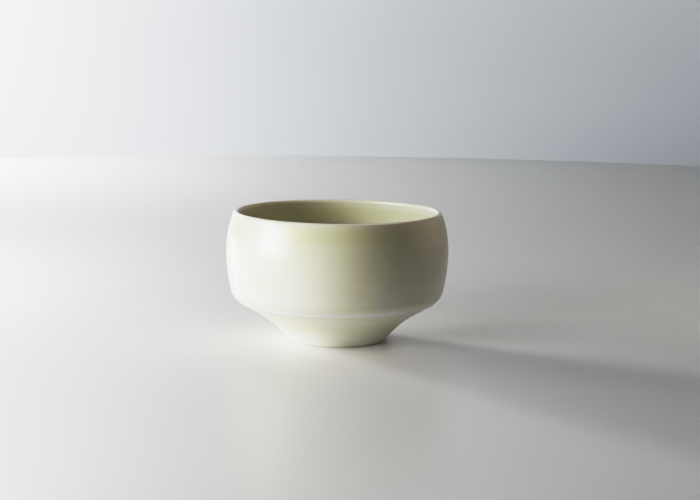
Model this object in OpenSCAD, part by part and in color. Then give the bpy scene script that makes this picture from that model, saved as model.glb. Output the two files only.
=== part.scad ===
// Matcha bowl (chawan): a thrown clay bowl with a turned foot ring and fired-on glaze.
// The axis is Z, the table is z = 0, and every piece is a solid of revolution.
// One outline, "skin", runs over the glazed surface from the foot, round the lip, to the floor.
// The clay starts one glaze thickness behind it, so clay and glaze share their faces exactly.

/* [Bowl] */
// Outside diameter at the widest level
bowl_d = 120; // [116:1:126]
// Height from the table to the top of the lip
bowl_h = 70; // [66:1:76]
// Height of the widest level
widest_z = 49; // [46:1:53]
// Diameter of the lip's highest line
lip_d = 109.2; // [106:0.2:112]
// Radius of the lip's outer edge
lip_outer_r = 1.8; // [1:0.1:2.4]
// Radius of the lip's inner edge
lip_inner_r = 1.6; // [0.8:0.1:2]

/* [Belly and underside] */
// Outside diameter where the wall turns into the belly corner
belly_d = 115.2; // [113:0.2:116.4]
// Height of that turn
belly_z = 27.8; // [27:0.2:30]
// Radius of the belly corner
belly_r = 8.8; // [8:0.2:14]
// Diameter where the belly corner meets the underside
keel_d = 106.4; // [104:0.2:108]
// Height of that line
keel_z = 21.5; // [20.5:0.1:22.5]
// Diameter where the underside meets the foot
kink_d = 84; // [80:0.5:87]
// Height of that line
kink_z = 14.6; // [12.5:0.1:16]

/* [Turned line] */
// Height of the rounded bead left by the turning tool
bead_h = 0.35; // [0.1:0.05:0.4]
// Depth of the groove below the bead
groove_depth = 0.35; // [0.1:0.05:0.5]

/* [Foot] */
// Outside diameter at the glaze's lower edge
foot_d = 54.2; // [51:0.2:57]
// Height and width of the bare bevel below that edge
foot_bevel = 0.9; // [0.6:0.1:1.4]
// Radius of the foot's concave flare
flare_r = 65; // [40:5:200]
// Inside diameter of the glazed recess under the foot
recess_d = 42; // [36:0.5:44]
// Height of the recess at its centre
recess_h = 9.4; // [9:0.1:10]

/* [Inside] */
// Height of the tea pool's lowest point
floor_z = 14.2; // [13.8:0.1:15]
// Diameter of the shallow floor
floor_d = 88; // [84:1:90]
// Height of the floor's edge
floor_edge_z = 20.8; // [20:0.1:22]
// Inside diameter at the top of the inner belly corner
well_d = 110.6; // [108:0.2:111]
// Height of that line
well_z = 33; // [32:0.5:36]
// Radius of the inner belly corner
well_r = 16; // [13:0.5:22]
// Wall thickness at the widest level
wall_t = 2.6; // [2.2:0.1:3.4]

/* [Glaze] */
// Thickness of the fired glaze
glaze_t = 0.35; // [0.2:0.05:0.4]

/* [Hidden] */
$fn = 120;
RIGHT = -1;
LEFT = 1;
GLAZE_COLOR = [0.84, 0.84, 0.70];
LINER_COLOR = [0.78, 0.79, 0.60];
CLAY_COLOR = [0.87, 0.84, 0.77];
FOOT_CLAY_COLOR = [0.83, 0.79, 0.71];

lip_top = [lip_d / 2, bowl_h];
widest_out = [bowl_d / 2, widest_z];
widest_in = [bowl_d / 2 - wall_t, widest_z];
belly = [belly_d / 2, belly_z];
keel = [keel_d / 2, keel_z];
kink = [kink_d / 2, kink_z];
foot_edge = [foot_d / 2, foot_bevel];
well = [well_d / 2, well_z];
floor_edge = [floor_d / 2, floor_edge_z];
floor_centre = [0, floor_z];
recess_corner_r = 2;
recess_ceiling_z = recess_h - 0.4;
recess_edge = [recess_d / 2, foot_bevel];
recess_wall_top = [recess_d / 2, recess_ceiling_z - recess_corner_r];
recess_corner_end = [recess_d / 2 - recess_corner_r, recess_ceiling_z];
recess_centre = [0, recess_h];

// The turned lines, measured down the outline from the keel: distance, half width, height.
turned_lines = [
    [0.2, 2.6, bead_h],
    [3.6, 1.2, -groove_depth],
    [5.7, 1.3, bead_h / 3],
    [8, 1.6, -groove_depth / 7]
];

// Radius of the arc that rises by "rise" over "run" from a tangent parallel to the run.
function sagitta_radius(run, rise) = (run * run + rise * rise) / (2 * rise);

// The arc of the given radius from a to b, without its first point, with its centre on one side.
function arc(a, b, radius, side, steps) =
    let (
        half = (b - a) / 2,
        across = [-half.y, half.x] / norm(half),
        centre = a + half + side * across * sqrt(max(0, radius * radius - half * half)),
        start = atan2(a.y - centre.y, a.x - centre.x),
        sweep = side * 2 * asin(min(1, norm(half) / radius))
    )
    [
        for (i = [1:steps])
            i == steps ? b : centre + radius * [cos(start + sweep * i / steps), sin(start + sweep * i / steps)]
    ];

// Radius of the wall arc between the widest level and another point, upright at the widest level.
function wall_radius(widest, other) =
    sagitta_radius(abs(widest.y - other.y), widest.x - other.x);

// Radius of the wall arc that is upright at the widest level and runs smoothly into an edge of the
// lip. The edge's radius is positive outside the bowl and negative inside it.
function rolled_radius(widest, edge_r) =
    let (run = widest - lip_top + [0, abs(edge_r)])
    (run * run - edge_r * edge_r) / (2 * (run.x - edge_r));

// The point where that wall arc meets the edge of the lip.
function lip_end(widest, edge_r) =
    let (
        radius = rolled_radius(widest, edge_r),
        centre = widest - [radius, 0],
        edge_centre = lip_top - [0, abs(edge_r)]
    )
    centre + radius * (edge_centre - centre) / (radius - edge_r);

// A straight line from a to b, without its first point.
function straight(a, b, steps) = [for (i = [1:steps]) a + (b - a) * i / steps];

// How far each point of a line is along it.
function lengths_along(line) =
    [
        for (
            i = 0, s = 0;
            i < len(line);
            s = s + norm(line[min(i + 1, len(line) - 1)] - line[i]), i = i + 1
        )
            s
    ];

// A line's points moved to its left, by one distance or by a list of them. A point on the axis
// stays on it.
function shifted(line, distance) =
    [
        for (i = [0:len(line) - 1])
            let (
                before = line[max(i - 1, 0)],
                after = line[min(i + 1, len(line) - 1)],
                along = line[i].x == 0 ? [-1, 0] : (after - before) / norm(after - before)
            )
            line[i] + (is_list(distance) ? distance[i] : distance) * [-along.y, along.x]
    ];

// A smooth hump, 1 at its middle and 0 at its edges.
function hump(u) = abs(u) < 1 ? (1 + cos(180 * u)) / 2 : 0;

// How far the turned lines stand out at a distance below the keel.
function relief(distance) =
    [for (line = turned_lines) line[2] * hump((distance - line[0]) / line[1])]
    * [for (line = turned_lines) 1];

// The outline with its turned lines.
function with_turned_lines(outline, keel_at) =
    let (s = lengths_along(outline))
    shifted(outline, [for (along = s) -relief(s[keel_at] - along)]);

function slice(line, first, last) = [for (i = [first:last]) line[i]];
function reversed(line) = [for (i = [len(line) - 1:-1:0]) line[i]];

flare_steps = 16;
underside_steps = 60;
belly_steps = 24;
wall_steps = 12;
lip_steps = 8;
corner_steps = 10;
floor_steps = 16;

lip_out = lip_end(widest_out, lip_outer_r);
lip_in = lip_end(widest_in, -lip_inner_r);

plain_skin = concat(
    [foot_edge],
    arc(foot_edge, kink, flare_r, RIGHT, flare_steps),
    straight(kink, keel, underside_steps),
    arc(keel, belly, belly_r, LEFT, belly_steps),
    arc(belly, widest_out, wall_radius(widest_out, belly), LEFT, wall_steps),
    arc(widest_out, lip_out, rolled_radius(widest_out, lip_outer_r), LEFT, wall_steps),
    arc(lip_out, lip_top, lip_outer_r, LEFT, lip_steps),
    arc(lip_top, lip_in, lip_inner_r, LEFT, lip_steps),
    arc(lip_in, widest_in, rolled_radius(widest_in, -lip_inner_r), RIGHT, wall_steps),
    arc(widest_in, well, wall_radius(widest_in, well), RIGHT, wall_steps),
    arc(well, floor_edge, well_r, RIGHT, corner_steps),
    arc(floor_edge, floor_centre, sagitta_radius(floor_edge.x, floor_edge.y - floor_z), RIGHT, floor_steps)
);

// Where along the outline the foot is joined, the glaze coats meet in the groove, the underside
// ends at the keel, and the lip tops out.
joint_at = flare_steps / 2;
groove_at = flare_steps + round(underside_steps * (1 - turned_lines[1][0] / norm(keel - kink)));
keel_at = flare_steps + underside_steps;
lip_top_at = keel_at + belly_steps + 2 * wall_steps + lip_steps;

skin = with_turned_lines(plain_skin, keel_at);
clay = shifted(skin, glaze_t);
floor_at = len(skin) - 1;

recess_skin = concat(
    [recess_edge, recess_wall_top],
    arc(recess_wall_top, recess_corner_end, recess_corner_r, LEFT, corner_steps),
    arc(
        recess_corner_end,
        recess_centre,
        sagitta_radius(recess_corner_end.x, recess_h - recess_ceiling_z),
        LEFT,
        corner_steps
    )
);
recess_clay = shifted(recess_skin, -glaze_t);
joint_out = clay[joint_at];
joint_in = [recess_edge.x + glaze_t, joint_out.y];

module turned(outline)
    rotate_extrude()
        polygon(outline);

// The thrown bowl: wall, belly, underside and floor, down to the face that the foot is luted to.
module bowl_body()
    color(CLAY_COLOR)
        turned(concat(
            slice(clay, joint_at, floor_at),
            reversed(slice(recess_clay, 2, len(recess_clay) - 1)),
            [[joint_in.x, recess_wall_top.y], joint_in]
        ));

// The foot ring (kodai), with its flat bare standing face.
module foot_ring()
    color(FOOT_CLAY_COLOR)
        turned(concat(
            [[recess_edge.x + foot_bevel, 0], [foot_edge.x - foot_bevel, 0]],
            slice(clay, 0, joint_at),
            [joint_in, [joint_in.x, foot_bevel]]
        ));

// One stretch of the glaze coat, between the clay and the outline.
module glaze_coat(first, last)
    turned(concat(slice(skin, first, last), reversed(slice(clay, first, last))));

// The liner glaze, poured inside, up to the top of the lip.
module inside_glaze()
    color(LINER_COLOR)
        glaze_coat(lip_top_at, floor_at);

// The dipped glaze on the wall, from the lip down to the turned groove.
module outside_glaze()
    color(GLAZE_COLOR)
        glaze_coat(groove_at, lip_top_at);

// The glaze on the underside and foot, ending above the bare standing face.
module foot_glaze()
    color(GLAZE_COLOR)
        glaze_coat(0, groove_at);

// The glaze inside the foot, bounded by the bare standing face.
module recess_glaze()
    color(GLAZE_COLOR)
        turned(concat(
            recess_skin,
            reversed(slice(recess_clay, 2, len(recess_clay) - 1)),
            [[joint_in.x, recess_wall_top.y], [joint_in.x, foot_bevel]]
        ));

bowl_body();
foot_ring();
inside_glaze();
outside_glaze();
foot_glaze();
recess_glaze();
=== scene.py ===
"""A matcha bowl: thrown stoneware under a pale yellow-green satin glaze, on a pale paper sweep.

Blender units are metres. The bowl's outline is worked out in millimetres, as a potter would
measure it, and turned into meshes that stand for the plain CAD solids of the same coats.
"""
import math

import bpy
import numpy as np
from mathutils import Matrix, Vector


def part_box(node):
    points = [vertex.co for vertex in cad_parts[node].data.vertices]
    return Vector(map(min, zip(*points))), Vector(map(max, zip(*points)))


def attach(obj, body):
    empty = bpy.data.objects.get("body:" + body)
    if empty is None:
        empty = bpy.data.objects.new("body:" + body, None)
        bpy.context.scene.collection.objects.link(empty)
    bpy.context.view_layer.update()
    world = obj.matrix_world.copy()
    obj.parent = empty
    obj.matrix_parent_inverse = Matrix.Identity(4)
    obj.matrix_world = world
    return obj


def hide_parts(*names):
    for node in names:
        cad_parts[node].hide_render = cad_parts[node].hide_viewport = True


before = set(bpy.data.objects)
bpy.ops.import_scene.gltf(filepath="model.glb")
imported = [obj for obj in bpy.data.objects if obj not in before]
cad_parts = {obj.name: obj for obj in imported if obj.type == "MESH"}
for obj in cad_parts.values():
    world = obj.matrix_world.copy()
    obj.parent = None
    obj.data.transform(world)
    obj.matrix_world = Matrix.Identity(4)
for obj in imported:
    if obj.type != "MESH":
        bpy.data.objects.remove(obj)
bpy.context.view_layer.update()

MM = 0.001

# ---------------------------------------------------------------- sizes from the frame, in mm


def node_size(node):
    """The lowest and highest corner of a CAD node, in millimetres."""
    low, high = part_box(node)
    return low / MM, high / MM


_, wall_high = node_size("outside_glaze")
foot_glaze_low, _ = node_size("foot_glaze")
floor_low, _ = node_size("inside_glaze")
_, recess_high = node_size("recess_glaze")

BOWL_R = wall_high.x
BOWL_H = wall_high.z
BEVEL = foot_glaze_low.z
GLAZE_T = 0.35
RECESS_H = recess_high.z - GLAZE_T
RECESS_R = recess_high.x - GLAZE_T
FLOOR_Z = floor_low.z + GLAZE_T

# The rest of the outline repeats the driving dimensions of the CAD model.
WIDEST_Z = 49.0
LIP_TOP = (54.6, BOWL_H)
LIP_OUTER_R, LIP_INNER_R = 1.8, 1.6
BELLY, BELLY_R = (57.6, 27.8), 8.8
KEEL = (53.2, 21.5)
KINK = (42.0, 14.6)
FOOT_EDGE, FLARE_R = (27.1, BEVEL), 65.0
WALL_T = 2.6
WELL, WELL_R = (55.3, 33.0), 16.0
FLOOR_EDGE = (44.0, 20.8)
RECESS_CORNER_R = 2.0
RECESS_CEILING_Z = RECESS_H - 0.4
# The turned lines, measured down the outline from the keel: distance, half width, height.
TURNED_LINES = ((0.2, 2.6, 0.35), (3.6, 1.2, -0.35), (5.7, 1.3, 0.117), (8, 1.6, -0.05))
GROOVE_DISTANCE = TURNED_LINES[1][0]

SEGMENTS, SWEEP_SEGMENTS = 256, 96
SHARP_ANGLE = math.radians(38)
ON_AXIS = 1e-6
LEFT, RIGHT = 1, -1


# ---------------------------------------------------------------- the outline


def sagitta_radius(run, rise):
    """Radius of the arc that rises by rise over run from a tangent parallel to the run."""
    return (run * run + rise * rise) / (2 * rise)


def arc(a, b, radius, side, spacing):
    """Points about spacing apart on the arc from a to b, without a, with its centre on one side."""
    a, b = np.array(a, float), np.array(b, float)
    half = (b - a) / 2
    reach = np.linalg.norm(half)
    across = np.array([-half[1], half[0]]) / reach
    centre = a + half + side * across * math.sqrt(max(0, radius**2 - reach**2))
    start = math.atan2(a[1] - centre[1], a[0] - centre[0])
    sweep = side * 2 * math.asin(min(1, reach / radius))
    steps = max(2, round(abs(sweep) * radius / spacing))
    turn = start + sweep * np.arange(1, steps + 1) / steps
    points = centre + radius * np.stack([np.cos(turn), np.sin(turn)], axis=1)
    points[-1] = b
    return points


def rolled_arc(widest, edge_r):
    """The radius of the wall arc that is upright at the widest level and rolls into the lip's edge,
    and the point where it meets that edge. edge_r is negative inside the bowl.
    """
    run = np.array([widest[0] - LIP_TOP[0], LIP_TOP[1] - abs(edge_r) - widest[1]])
    radius = (run @ run - edge_r**2) / (2 * (run[0] - edge_r))
    centre = np.array([widest[0] - radius, widest[1]])
    toward_edge = np.array([radius - run[0], run[1]])
    return radius, centre + radius * toward_edge / (radius - edge_r)


def hump(u):
    """A smooth hump, 1 at its middle and 0 at its edges."""
    return np.where(np.abs(u) < 1, (1 + np.cos(np.pi * u)) / 2, 0)


def straight(a, b, spacing):
    """Points about spacing apart on the line from a to b, without a."""
    a, b = np.array(a, float), np.array(b, float)
    steps = round(np.linalg.norm(b - a) / spacing)
    return a + (b - a) * (np.arange(1, steps + 1) / steps)[:, None]


def turned(line, keel_at):
    """The line with the beads and grooves that the turning tool leaves round the keel."""
    s = lengths_along(line)
    below_keel = s[keel_at] - s
    relief = sum(
        height * hump((below_keel - at) / half_width) for at, half_width, height in TURNED_LINES
    )
    return line - relief[:, None] * left_normals(line)


def skin_outline():
    """The glazed surface as one line of (radius, height), and where on it the keel is.

    It runs from the foot over the underside, the wall and the lip to the floor. The last number of
    each stretch is the spacing of its points in millimetres.
    """
    widest_out, widest_in = (BOWL_R, WIDEST_Z), (BOWL_R - WALL_T, WIDEST_Z)
    outer_r, lip_out = rolled_arc(widest_out, LIP_OUTER_R)
    inner_r, lip_in = rolled_arc(widest_in, -LIP_INNER_R)
    lower_out_r = sagitta_radius(WIDEST_Z - BELLY[1], BOWL_R - BELLY[0])
    lower_in_r = sagitta_radius(WIDEST_Z - WELL[1], widest_in[0] - WELL[0])
    floor_r = sagitta_radius(FLOOR_EDGE[0], FLOOR_EDGE[1] - FLOOR_Z)
    underside = [
        [FOOT_EDGE],
        arc(FOOT_EDGE, KINK, FLARE_R, RIGHT, 0.4),
        straight(KINK, KEEL, 0.12),
    ]
    keel_at = sum(len(part) for part in underside) - 1
    line = np.concatenate(
        [
            *underside,
            arc(KEEL, BELLY, BELLY_R, LEFT, 0.2),
            arc(BELLY, widest_out, lower_out_r, LEFT, 0.6),
            arc(widest_out, lip_out, outer_r, LEFT, 0.6),
            arc(lip_out, LIP_TOP, LIP_OUTER_R, LEFT, 0.12),
            arc(LIP_TOP, lip_in, LIP_INNER_R, LEFT, 0.1),
            arc(lip_in, widest_in, inner_r, RIGHT, 0.6),
            arc(widest_in, WELL, lower_in_r, RIGHT, 0.6),
            arc(WELL, FLOOR_EDGE, WELL_R, RIGHT, 0.5),
            arc(FLOOR_EDGE, (0, FLOOR_Z), floor_r, RIGHT, 0.7),
        ]
    )
    return turned(line, keel_at), keel_at


def recess_outline():
    """The glazed hollow inside the foot ring, from the bare edge to its centre."""
    wall_top = (RECESS_R, RECESS_CEILING_Z - RECESS_CORNER_R)
    corner_end = (RECESS_R - RECESS_CORNER_R, RECESS_CEILING_Z)
    ceiling_r = sagitta_radius(corner_end[0], RECESS_H - RECESS_CEILING_Z)
    heights = np.arange(BEVEL, wall_top[1], 0.4)
    wall = np.stack([np.full_like(heights, RECESS_R), heights], axis=1)
    return np.concatenate(
        [
            wall,
            [wall_top],
            arc(wall_top, corner_end, RECESS_CORNER_R, LEFT, 0.2),
            arc(corner_end, (0, RECESS_H), ceiling_r, LEFT, 0.6),
        ]
    )


def left_normals(line):
    """The unit normal on the left of each point. On the axis it is straight down."""
    along = np.gradient(line, axis=0)
    along /= np.linalg.norm(along, axis=1)[:, None]
    along[line[:, 0] < ON_AXIS] = (-1, 0)
    return np.stack([-along[:, 1], along[:, 0]], axis=1)


def shifted(line, distance):
    """A line's points moved to its left. A point on the axis stays on it."""
    return line + distance * left_normals(line)


def lengths_along(line):
    """How far each point is along the line, in millimetres."""
    steps = np.linalg.norm(np.diff(line, axis=0), axis=1)
    return np.concatenate([[0], np.cumsum(steps)])


def smoothed_along(line, values, width):
    """The values averaged along the line under a bell curve of the given width."""
    s = lengths_along(line)
    weights = np.exp(-(((s[:, None] - s[None, :]) / width) ** 2)) * np.gradient(s)[None, :]
    return weights @ values / weights.sum(axis=1)


def bell(values, middle, width):
    """A bell curve over the values, 1 at its middle."""
    return np.exp(-(((values - middle) / width) ** 2))


# How strongly a bend of the outline moves the glaze, how fast that grows with the bend's curvature
# per mm, and the length in mm over which the glaze evens out.
GLAZE_PULL, PULL_RATE, EVEN_OUT = 0.45, 2.4, 1


def glaze_depth_and_shade(line, side):
    """How thick the glaze lies at each point, from 0, broken white, to 1, pooled.

    Molten glaze draws back from an edge that stands out and gathers in a groove, so it follows
    the outline's curvature. It drains off the lip into a thicker roll a little below it, breaks
    over the keel and its bead, gathers at the top of the foot, and lies thin at the foot's edge.
    A narrow dark grey line on the groove's upper flank, just under the bead, is painted shade.
    """
    normals = left_normals(line) * side
    bend = np.gradient(normals, axis=0)
    along = np.gradient(line, axis=0)
    curvature = -(bend * along).sum(axis=1) / (along**2).sum(axis=1)
    curvature[line[:, 0] < ON_AXIS] = 0
    curvature = smoothed_along(line, curvature, EVEN_OUT)
    depth = 0.5 - GLAZE_PULL * np.tanh(PULL_RATE * curvature)
    height = line[:, 1]
    outside = np.arange(len(line)) <= np.argmax(height)
    roll = 0.24 * bell(height, BOWL_H - 6.5, 5)
    bare_lip = 0.6 * bell(height, BOWL_H, np.where(outside, 1.7, 4.0))
    drained = 0.17 * np.clip((BOWL_H - 14 - height) / 26, 0, 1)
    over_keel = 0.16 * bell(height, KEEL[1] + 1, 3)
    over_bead = 0.34 * bell(height, KEEL[1] + 0.7, 1.1)
    # Painted shade: a narrow dark grey line on the groove's upper flank, where the groove's shade
    # falls.
    groove_shade = 0.8 * bell(height, KEEL[1] - 1.4, 0.28)
    above_foot = 0.16 * bell(height, KINK[1] - 3, 3.5)
    depth += roll - bare_lip - drained
    # The line under the bead darkens the glaze colour there as painted shade.
    depth += outside * (groove_shade + above_foot - over_keel - over_bead)
    return np.clip(depth, 0, 1)


# ---------------------------------------------------------------- what the hand leaves


def waves(height, angle, table):
    """How far a table of fine ridges, which climb round the wall as it turns, stands out."""
    return sum(
        depth * np.sin(2 * np.pi * height / pitch + starts * angle + phase)
        for pitch, starts, depth, phase in table
    )


# Pitch in mm, number of starts round the bowl, depth in mm, phase.
OUTSIDE_RIDGES = ((5.3, 1, 0.008, 0.4), (3.1, 1, 0.005, 2.1), (12.0, 2, 0.010, 4.0))
INSIDE_RIDGES = ((6.4, 1, 0.030, 1.0), (3.7, 1, 0.010, 2.6), (14.0, 2, 0.016, 0.2))
TURNING_RIDGES = ((1.9, 1, 0.008, 0.0), (2.7, 1, 0.006, 1.3))
# How near a coat's edge, and how near the bowl's centre, the ridges fade away, in mm.
EDGE_FADE, CENTRE_FADE = 3, 8


def ridge_depth(table):
    """The most that a table of ridges can stand out."""
    return sum(depth for _, _, depth, _ in table)


def ovality(height, angle):
    """The part of its radius that the bowl loses at an angle: no thrown bowl is quite round."""
    rise = height / BOWL_H
    oval = 0.5 - 0.5 * np.cos(2 * angle + 0.7)
    dent = 0.5 - 0.5 * np.cos(3 * angle + 2.0)
    return (0.0016 * oval + 0.0007 * dent) * rise**2


def lip_dip(height, angle):
    """How far the lip dips below its highest point, in millimetres."""
    rise = np.clip((height - WIDEST_Z) / (BOWL_H - WIDEST_Z), 0, 1)
    swell = 0.5 - 0.5 * np.cos(2 * angle - 1.1)
    ripple = 0.5 - 0.5 * np.cos(5 * angle + 0.9)
    return (0.16 * swell + 0.05 * ripple) * rise**2


def as_thrown(points, angle):
    """The points (radius, height) at one angle, warped as the whole bowl is."""
    radius, height = points[:, 0], points[:, 1]
    return np.stack(
        [radius * (1 - ovality(height, angle)), height - lip_dip(height, angle)], axis=1
    )


# ---------------------------------------------------------------- meshes


def lathe(name, section_at, depth, closed, segments=SEGMENTS):
    """A mesh turned round Z. section_at(angle) gives its (radius, height) points in mm.

    A point on the axis becomes one vertex, and a closed section joins its last point to its first.
    depth is stored on each vertex as glaze_depth_and_shade for the materials to read.
    """
    angles = 2 * np.pi * np.arange(segments) / segments
    sections = np.stack([section_at(a) for a in angles])
    count = sections.shape[1]
    on_axis = sections[0, :, 0] < ON_AXIS
    index = np.zeros((segments, count), int)
    vertices, depths = [], []
    for i in range(count):
        if on_axis[i]:
            index[:, i] = len(vertices)
            vertices.append((0, 0, sections[0, i, 1]))
            depths.append(depth[i])
            continue
        index[:, i] = len(vertices) + np.arange(segments)
        ring = sections[:, i]
        vertices.extend(zip(ring[:, 0] * np.cos(angles), ring[:, 0] * np.sin(angles), ring[:, 1]))
        depths.extend([depth[i]] * segments)
    last = count if closed else count - 1
    faces = []
    for i in range(last):
        j = (i + 1) % count
        if on_axis[i] and on_axis[j]:
            continue
        for k in range(segments):
            m = (k + 1) % segments
            corners = (index[k, i], index[m, i], index[m, j], index[k, j])
            faces.append(tuple(dict.fromkeys(int(c) for c in corners)))
    mesh = bpy.data.meshes.new(name)
    mesh.from_pydata([Vector(v) * MM for v in vertices], [], faces)
    mesh.attributes.new("glaze_depth_and_shade", "FLOAT", "POINT").data.foreach_set("value", depths)
    mesh.shade_smooth()
    mesh.set_sharp_from_angle(angle=SHARP_ANGLE)
    mesh.validate()
    piece = bpy.data.objects.new(name, mesh)
    bpy.context.scene.collection.objects.link(piece)
    return piece


def stands_for(piece, node, material):
    """Puts a turned piece in the place of its CAD node."""
    piece.data.materials.append(material)
    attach(piece, "root")
    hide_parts(node)
    return piece


def glaze_coat(name, skin, clay, depth, ridges, ridge_side):
    """A closed coat between the skin and the clay, its skin drawn in by the hand's fine ridges."""
    most = ridge_depth(ridges)
    normals = left_normals(skin) * ridge_side
    s = lengths_along(skin)
    fade = np.clip(np.minimum(s, s[-1] - s) / EDGE_FADE, 0, 1)
    fade *= np.clip(skin[:, 0] / CENTRE_FADE, 0, 1)

    def section(angle):
        inset = fade * (most - waves(s, angle, ridges))
        drawn = skin + inset[:, None] * normals
        return as_thrown(np.concatenate([drawn, clay[::-1]]), angle)

    depths = np.concatenate([depth, depth[::-1]])
    return lathe(name, section, depths, closed=skin[-1, 0] > ON_AXIS)


# ---------------------------------------------------------------- materials


class Nodes:
    """A material's node tree, built a few calls at a time."""

    def __init__(self, name):
        self.material = bpy.data.materials.new(name)
        self.material.use_nodes = True
        self.tree = self.material.node_tree
        self.tree.nodes.clear()

    def add(self, kind, **settings):
        node = self.tree.nodes.new("ShaderNode" + kind)
        for key, value in settings.items():
            setattr(node, key, value)
        return node

    def link(self, source, target):
        self.tree.links.new(source, target)

    def feed(self, socket, value):
        if isinstance(value, bpy.types.NodeSocket):
            self.link(value, socket)
        else:
            socket.default_value = value

    def place(self):
        """Object coordinates in metres, the same on every piece of the bowl."""
        return self.add("TexCoord").outputs["Object"]

    def noise(self, size_mm, detail=2.0, roughness=0.5, stretch=(1, 1, 1)):
        """Noise from 0 to 1 with features of about size_mm."""
        mapping = self.add("Mapping")
        mapping.inputs["Scale"].default_value = stretch
        self.link(self.place(), mapping.inputs["Vector"])
        node = self.add("TexNoise")
        self.link(mapping.outputs["Vector"], node.inputs["Vector"])
        node.inputs["Scale"].default_value = 1 / (size_mm * MM)
        node.inputs["Detail"].default_value = detail
        node.inputs["Roughness"].default_value = roughness
        return node.outputs["Fac"]

    def cells(self, size_mm):
        """The distance to the nearest of points scattered about size_mm apart."""
        node = self.add("TexVoronoi", feature="F1")
        node.inputs["Scale"].default_value = 1 / (size_mm * MM)
        self.link(self.place(), node.inputs["Vector"])
        return node.outputs["Distance"]

    def maths(self, operation, a, b=0.0, c=0.0):
        node = self.add("Math", operation=operation)
        for socket, value in zip(node.inputs, (a, b, c)):
            self.feed(socket, value)
        return node.outputs["Value"]

    def spread(self, value, low, high, to_low=0.0, to_high=1.0):
        """The value mapped from one range to another, smoothly and within its ends."""
        node = self.add("MapRange", interpolation_type="SMOOTHSTEP")
        for socket, number in zip(node.inputs, (value, low, high, to_low, to_high)):
            self.feed(socket, number)
        return node.outputs["Result"]

    def ramp(self, value, stops):
        """Colours along a value: each stop is (place, (r, g, b)), in linear light."""
        node = self.add("ValToRGB")
        node.color_ramp.interpolation = "EASE"
        elements = node.color_ramp.elements
        while len(elements) < len(stops):
            elements.new(0.5)
        for element, (place, colour) in zip(elements, stops):
            element.position = place
            element.color = (*colour, 1)
        self.link(value, node.inputs["Fac"])
        return node.outputs["Color"]

    def mix(self, factor, a, b, blend="MIX"):
        node = self.add("Mix", data_type="RGBA", blend_type=blend)
        self.feed(node.inputs["Factor"], factor)
        self.feed(node.inputs["A"], a)
        self.feed(node.inputs["B"], b)
        return node.outputs["Result"]

    def bump(self, height, distance_mm, strength=1.0, normal=None):
        node = self.add("Bump")
        node.inputs["Strength"].default_value = strength
        node.inputs["Distance"].default_value = distance_mm * MM
        self.link(height, node.inputs["Height"])
        if normal is not None:
            self.link(normal, node.inputs["Normal"])
        return node.outputs["Normal"]

    def shader(self, **sockets):
        """The principled shader, with each named socket fed, wired to the output."""
        node = self.add("BsdfPrincipled")
        for name, value in sockets.items():
            self.feed(node.inputs[name.replace("_", " ")], value)
        output = self.add("OutputMaterial")
        self.link(node.outputs["BSDF"], output.inputs["Surface"])
        return self.material


# Linear colours of the glaze, from where it breaks thin over an edge to where it pools. The last,
# grey stop is the pooled glaze and also the painted shade of the line under the bead.
GLAZE_AND_SHADE_STOPS = (
    (0.0, (0.85, 0.845, 0.80)),
    (0.25, (0.80, 0.795, 0.69)),
    (0.5, (0.745, 0.745, 0.55)),
    (0.75, (0.70, 0.705, 0.46)),
    (1.0, (0.46, 0.47, 0.35)),
)
SPECK_COLOUR = (0.45, 0.40, 0.26, 1)


def glaze_material(name, depth_shift=0.0):
    """Satin celadon glaze: cloudy colour by thickness, orange peel, pinholes and faint specks."""
    n = Nodes(name)
    depth = n.add("Attribute", attribute_name="glaze_depth_and_shade").outputs["Fac"]
    clouds = n.maths("SUBTRACT", n.noise(24, 3, 0.5), 0.5)
    bands = n.maths("SUBTRACT", n.noise(30, 2, 0.6, stretch=(0.5, 0.5, 9)), 0.5)
    mottle = n.maths("SUBTRACT", n.noise(2.6, 3, 0.6), 0.5)
    depth = n.maths("MULTIPLY_ADD", clouds, 0.34, depth)
    depth = n.maths("MULTIPLY_ADD", bands, 0.09, depth)
    depth = n.maths("MULTIPLY_ADD", mottle, 0.10, depth)
    # The ramp shows the glaze's thickness, and the painted shade of the line under the bead.
    colour = n.ramp(n.maths("ADD", depth, depth_shift), GLAZE_AND_SHADE_STOPS)

    speck = n.spread(n.cells(4), 0.02, 0.05, 0.4, 0)
    colour = n.mix(speck, colour, SPECK_COLOUR)

    rough = n.spread(n.noise(7, 4, 0.6), 0.25, 0.75, 0.29, 0.35)
    peel = n.noise(1.7, 2, 0.5)
    pore = n.spread(n.cells(3.1), 0.0, 0.05, 0, 1)
    normal = n.bump(peel, 0.012, 0.4)
    normal = n.bump(pore, 0.02, 0.2, normal)
    return n.shader(
        Base_Color=colour,
        Roughness=rough,
        Normal=normal,
        Specular_IOR_Level=0.5,
        Coat_Weight=0.3,
        Coat_Roughness=0.17,
        Subsurface_Weight=0.1,
        Subsurface_Radius=(1.0, 0.9, 0.5),
        Subsurface_Scale=0.001,
    )


# Linear colours of the bare clay.
PALE_CLAY, DARK_CLAY = (0.72, 0.69, 0.60, 1), (0.63, 0.59, 0.50, 1)
GRAIN_COLOUR, GROG_COLOUR = (0.42, 0.33, 0.23, 1), (0.30, 0.22, 0.14, 1)


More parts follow.
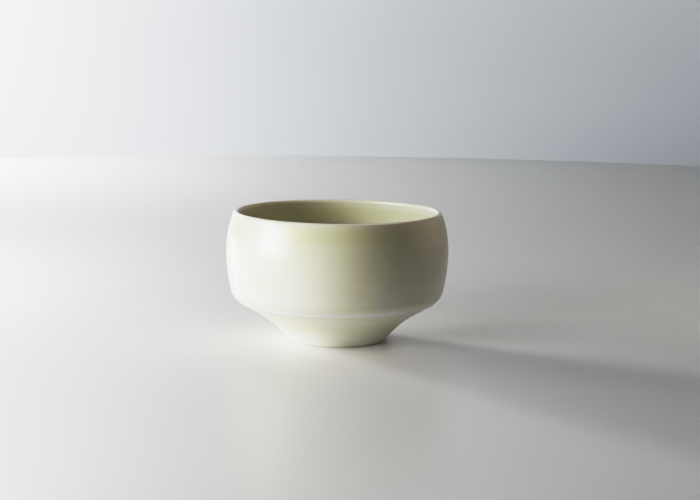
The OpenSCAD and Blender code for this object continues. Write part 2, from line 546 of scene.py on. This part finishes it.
def clay_material(name):
    """Bare fired stoneware: dry, grainy, with fine grog and the turning tool's rings."""
    n = Nodes(name)
    grain = n.noise(0.7, 5, 0.7)
    patch = n.noise(11, 3, 0.6)
    colour = n.mix(n.spread(patch, 0.3, 0.7), PALE_CLAY, DARK_CLAY)
    colour = n.mix(n.spread(grain, 0.35, 0.75, 0, 0.35), colour, GRAIN_COLOUR)
    fleck = n.spread(n.cells(1.6), 0.0, 0.12, 1, 0)
    colour = n.mix(n.maths("MULTIPLY", fleck, 0.4), colour, GROG_COLOUR)
    rough = n.spread(grain, 0.3, 0.7, 0.78, 0.95)
    rings = n.add("TexWave", wave_type="RINGS", rings_direction="Z", wave_profile="SIN")
    rings.inputs["Scale"].default_value = 260
    rings.inputs["Distortion"].default_value = 0.6
    rings.inputs["Detail"].default_value = 2
    n.link(n.place(), rings.inputs["Vector"])
    normal = n.bump(grain, 0.09, 0.8)
    normal = n.bump(rings.outputs["Fac"], 0.05, 0.6, normal)
    return n.shader(Base_Color=colour, Roughness=rough, Normal=normal, Specular_IOR_Level=0.3)


# ---------------------------------------------------------------- the bowl


def build_bowl():
    """The four glaze coats, each in the place of its CAD node."""
    skin, keel_at = skin_outline()
    clay = shifted(skin, GLAZE_T)
    clay[-1] = (0, FLOOR_Z - GLAZE_T)
    depth = glaze_depth_and_shade(skin, RIGHT)

    s = lengths_along(skin)
    groove_at = int(np.argmin(np.abs(s[keel_at] - s - GROOVE_DISTANCE)))
    lip_at = int(np.argmax(skin[:, 1]))
    wall = slice(groove_at, lip_at + 1)
    foot = slice(0, groove_at + 1)
    inside = slice(lip_at, None)

    coat = glaze_coat("wall_coat", skin[wall], clay[wall], depth[wall], OUTSIDE_RIDGES, LEFT)
    stands_for(coat, "outside_glaze", glaze_material("wall_glaze"))
    coat = glaze_coat("foot_coat", skin[foot], clay[foot], depth[foot], TURNING_RIDGES, LEFT)
    stands_for(coat, "foot_glaze", glaze_material("foot_glaze"))
    coat = glaze_coat("liner_coat", skin[inside], clay[inside], depth[inside], INSIDE_RIDGES, LEFT)
    liner = glaze_material("liner_glaze", depth_shift=0.04)
    stands_for(coat, "inside_glaze", liner)

    recess = recess_outline()
    recess_clay = shifted(recess, -GLAZE_T)
    recess_clay[-1] = (0, RECESS_H + GLAZE_T)
    depth = glaze_depth_and_shade(recess, LEFT)
    coat = glaze_coat("recess_coat", recess, recess_clay, depth, TURNING_RIDGES, RIGHT)
    stands_for(coat, "recess_glaze", glaze_material("recess_glaze"))


def bare_clay():
    """The CAD solids of the clay keep their shape and get a fired clay surface."""
    material = clay_material("bare_clay")
    for node in ("bowl_body", "foot_ring"):
        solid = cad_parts[node]
        solid.data.materials.clear()
        solid.data.materials.append(material)


# ---------------------------------------------------------------- floor, light and camera

# The paper sweep, in metres: the middle and the edge of its floor, its cove and its wall.
MID_FLOOR_R, FLOOR_R = 0.3, 1.15
COVE_R, COVE_STEP = 0.45, 0.02
SWEEP_H = 1.5


def paper_material():
    """Plain pale paper with a faint sheen that varies a little."""
    n = Nodes("pale_paper")
    grain = n.noise(3, 3)
    rough = n.spread(grain, 0.3, 0.7, 0.29, 0.33)
    return n.shader(Base_Color=(0.81, 0.80, 0.785, 1), Roughness=rough, Specular_IOR_Level=0.5)


def paper_sheet(name, line, paper):
    """A part of the sweep, turned from its line of (radius, height) in metres."""
    sheet = lathe(name, lambda angle: line / MM, np.zeros(len(line)), False, SWEEP_SEGMENTS)
    sheet.data.materials.append(paper)
    return sheet


def build_sweep():
    """A round paper sweep: a flat floor, and a wall that turns up from it beyond every camera.

    The wall sends no light back to the bowl, so the side away from the window falls into shade.
    """
    floor_edge = (FLOOR_R, 0)
    corner = arc(floor_edge, (FLOOR_R + COVE_R, COVE_R), COVE_R, LEFT, COVE_STEP)
    floor_line = np.array([(0, 0), (MID_FLOOR_R, 0), floor_edge])
    wall_line = np.concatenate([[floor_edge], corner, [(FLOOR_R + COVE_R, SWEEP_H)]])
    paper = paper_material()
    floor = paper_sheet("paper_floor", floor_line, paper)
    wall = paper_sheet("paper_wall", wall_line, paper)
    wall.visible_diffuse = False
    return floor, wall


def aim(thing, place, target):
    """Puts a lamp at a place and turns it to its target."""
    thing.location = place
    thing.rotation_euler = (Vector(target) - Vector(place)).to_track_quat("-Z", "Y").to_euler()


def bearing(degrees, distance, height):
    """A place round the bowl. The bearing runs from the photographer round to the left."""
    turn = math.radians(degrees)
    return (-math.sin(turn) * distance, -math.cos(turn) * distance, height)


AT_BOWL, AT_FOOT = (0, 0, 0.04), (0, 0, 0)
# The lamps: what each one lights, its place, its target, its width and height in metres, its watts
# and its colour. Light linking keeps the lamps of the bowl, the floor and the wall apart.
LAMPS = {
    "window": ("bowl", bearing(67, 0.75, 0.2), AT_BOWL, (0.44, 0.36), 7.9, (1, 0.92, 0.74)),
    "window_sky": ("bowl", bearing(76, 0.75, 0.2), AT_BOWL, (0.3, 0.36), 4.5, (0.34, 0.53, 1)),
    "right_fill": ("bowl", bearing(-106, 1, 0.3), AT_BOWL, (0.9, 0.6), 0.78, (1, 0.74, 0.62)),
    "top_fill": ("bowl", (0.3, 0.2, 0.9), AT_BOWL, (0.4, 0.4), 2.05, (1, 0.79, 0.76)),
    "floor_front": ("floor", bearing(45, 0.5, 0.2), AT_FOOT, (0.3, 0.24), 1.97, (0.98, 0.99, 1)),
    "floor_left": ("floor", (-0.45, 0.12, 0.1), (-0.2, 0.15, 0), (0.2, 0.1), 2.15, (1, 0.98, 0.96)),
    "floor_right": ("floor", (0.35, -0.3, 0.35), (0.15, 0, 0), (0.3, 0.3), 0.16, (1, 0.83, 0.8)),
    "floor_far_right": ("floor", (0.4, 0.1, 0.25), (0.2, 0, 0), (0.2, 0.2), 0.13, (1, 0.95, 0.8)),
    "floor_back": ("floor", (-1, 0.92, 0.16), (0.3, 0.92, 0), (0.3, 0.15), 43, (0.97, 1, 0.98)),
    "wall": ("wall", (-0.9, 1.35, 0.6), (0.2, 1.6, 0.5), (0.3, 0.5), 54, (0.87, 0.915, 1)),
}


def soft_box(name, place, target, size, power, colour):
    """A flat rectangular lamp that gives light and reflections but isn't seen itself."""
    light = bpy.data.lights.new(name, "AREA")
    light.shape = "RECTANGLE"
    light.size, light.size_y = size
    light.energy = power
    light.color = colour
    lamp = bpy.data.objects.new(name, light)
    bpy.context.scene.collection.objects.link(lamp)
    aim(lamp, place, target)
    lamp.visible_camera = False
    return lamp


def group(name, things):
    """A collection of things for a lamp to light."""
    lit = bpy.data.collections.new(name)
    for thing in things:
        lit.objects.link(thing)
    return lit


def build_light(floor, wall):
    """A window low on the left, the dim room round it, and separate lamps for the paper."""
    solids = [thing for thing in bpy.context.scene.objects if thing.type == "MESH"]
    groups = {
        "bowl": group("lit_bowl", [thing for thing in solids if thing not in (floor, wall)]),
        "floor": group("lit_floor", [floor]),
        "wall": group("lit_wall", [wall]),
    }
    for name, (lit, *settings) in LAMPS.items():
        lamp = soft_box(name, *settings)
        lamp.light_linking.receiver_collection = groups[lit]


# The light in the scene and the light that is shown for it, rolling off towards white.
TONES = (
    (0, 0),
    (0.1, 0.075),
    (0.2, 0.165),
    (0.3, 0.275),
    (0.45, 0.445),
    (0.6, 0.575),
    (0.8, 0.715),
    (1, 0.8),
    (1.3, 0.865),
    (1.7, 0.91),
    (2.2, 0.945),
    (4, 1),
)

# The camera's place in metres, and its turns in degrees.
CAMERA_DISTANCE, CAMERA_HEIGHT = 0.800, 0.1685
CAMERA_YAW, CAMERA_PITCH, CAMERA_ROLL = 0.485, 8.53, 0.67
LENS_MM, SENSOR_MM = 76.9, 36.0


def build_camera():
    """The photographer's camera, in front of the bowl on -Y, a little above its lip."""
    data = bpy.data.cameras.new("camera")
    data.sensor_fit = "HORIZONTAL"
    data.sensor_width = SENSOR_MM
    data.lens = LENS_MM
    camera = bpy.data.objects.new("camera", data)
    bpy.context.scene.collection.objects.link(camera)
    yaw, pitch, roll = (math.radians(a) for a in (CAMERA_YAW, CAMERA_PITCH, CAMERA_ROLL))
    forward = Vector(
        (math.sin(yaw) * math.cos(pitch), math.cos(yaw) * math.cos(pitch), -math.sin(pitch))
    )
    level = Vector((math.cos(yaw), -math.sin(yaw), 0))
    upright = level.cross(forward)
    right = level * math.cos(roll) + upright * math.sin(roll)
    up = upright * math.cos(roll) - level * math.sin(roll)
    turn = Matrix((right, up, -forward)).transposed().to_4x4()
    camera.matrix_world = Matrix.Translation((0, -CAMERA_DISTANCE, CAMERA_HEIGHT)) @ turn
    bpy.context.scene.camera = camera


def set_tones():
    """Shows colours as they are, with the soft roll-off towards white of a photograph."""
    view = bpy.context.scene.view_settings
    view.view_transform = "Standard"
    view.use_curve_mapping = True
    brightest = TONES[-1][0]
    curves = view.curve_mapping
    curves.extend = "HORIZONTAL"
    curves.white_level = (brightest,) * 3
    tone = curves.curves[3]
    tone.points[0].location = TONES[0]
    tone.points[-1].location = (1, TONES[-1][1])
    for light, shown in TONES[1:-1]:
        tone.points.new(light / brightest, shown)
    curves.update()


set_tones()
build_camera()
build_bowl()
bare_clay()
build_light(*build_sweep())
